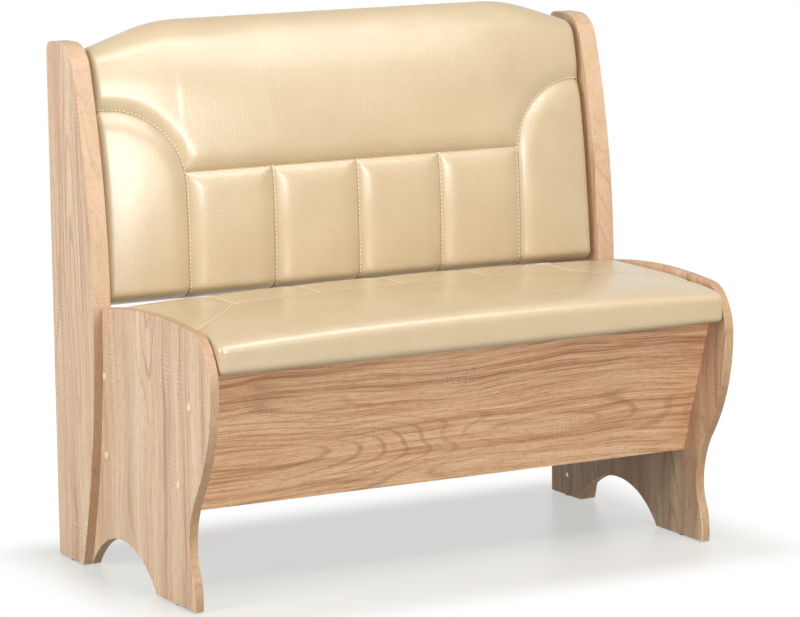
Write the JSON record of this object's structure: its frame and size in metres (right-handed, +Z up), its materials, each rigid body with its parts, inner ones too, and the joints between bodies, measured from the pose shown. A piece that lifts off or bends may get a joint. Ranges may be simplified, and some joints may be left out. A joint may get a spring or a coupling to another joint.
{
  "type": "storage bench",
  "caption": "Padded storage bench with laminated board sides, a sloped box under a hinged padded seat lid, and a leaning padded back with a curved top.",
  "frame": {"origin": "on the floor, under the middle of the bench's width and depth", "axes": "+Z up, +Y towards the wall behind the bench, +X towards the bench's right end as seen from the front"},
  "size_m": [1, 0.565, 0.8975],
  "materials": {
    "oak_laminate": "sonoma oak melamine laminate, satin",
    "faux_leather": "pearl champagne faux leather",
    "raw_chipboard": "raw chipboard",
    "pine": "planed softwood",
    "hardboard": "smooth hardboard",
    "spunbond": "black spunbond lining",
    "zinc_steel": "zinc plated steel",
    "cream_plastic": "cream moulded cap",
    "black_plastic": "black moulded glide"
  },
  "bodies": {
    "bench_frame": {"side_panel_left": "oak_laminate", "side_panel_right": "oak_laminate", "upright_left": "oak_laminate", "upright_right": "oak_laminate", "upright_liner_left": "oak_laminate", "upright_liner_right": "oak_laminate", "box_front_panel": "oak_laminate", "box_rear_panel": "oak_laminate", "back_cushion": "faux_leather", "back_board": "raw_chipboard", "bottom_batten_front": "pine", "bottom_batten_rear": "pine", "box_bottom_sheet": "hardboard", "back_lining": "spunbond", "confirmat_screws_left": "zinc_steel", "confirmat_screws_right": "zinc_steel", "upright_screws_left": "zinc_steel", "upright_screws_right": "zinc_steel", "batten_screws": "zinc_steel", "back_brackets_left": "zinc_steel", "back_brackets_right": "zinc_steel", "bracket_screws_left": "zinc_steel", "bracket_screws_right": "zinc_steel", "hinge_fixed_leaf_left": "zinc_steel", "hinge_fixed_leaf_right": "zinc_steel", "hinge_pin_left": "zinc_steel", "hinge_pin_right": "zinc_steel", "hinge_screws_fixed": "zinc_steel", "screw_caps_left": "cream_plastic", "screw_caps_right": "cream_plastic", "floor_glides_left": "black_plastic", "floor_glides_right": "black_plastic"},
    "seat_lid": {"seat_board": "raw_chipboard", "seat_cushion": "faux_leather", "seat_lining": "spunbond", "hinge_lid_leaf_left": "zinc_steel", "hinge_lid_leaf_right": "zinc_steel", "hinge_screws_lid": "zinc_steel"}
  },
  "joints": [
    {"name": "seat_hinge", "type": "hinge", "parent": "bench_frame", "child": "seat_lid", "pos_m": [0, 0.102, 0.4054], "axis": [-1, 0, 0], "range_deg": [0, 50]}
  ]
}
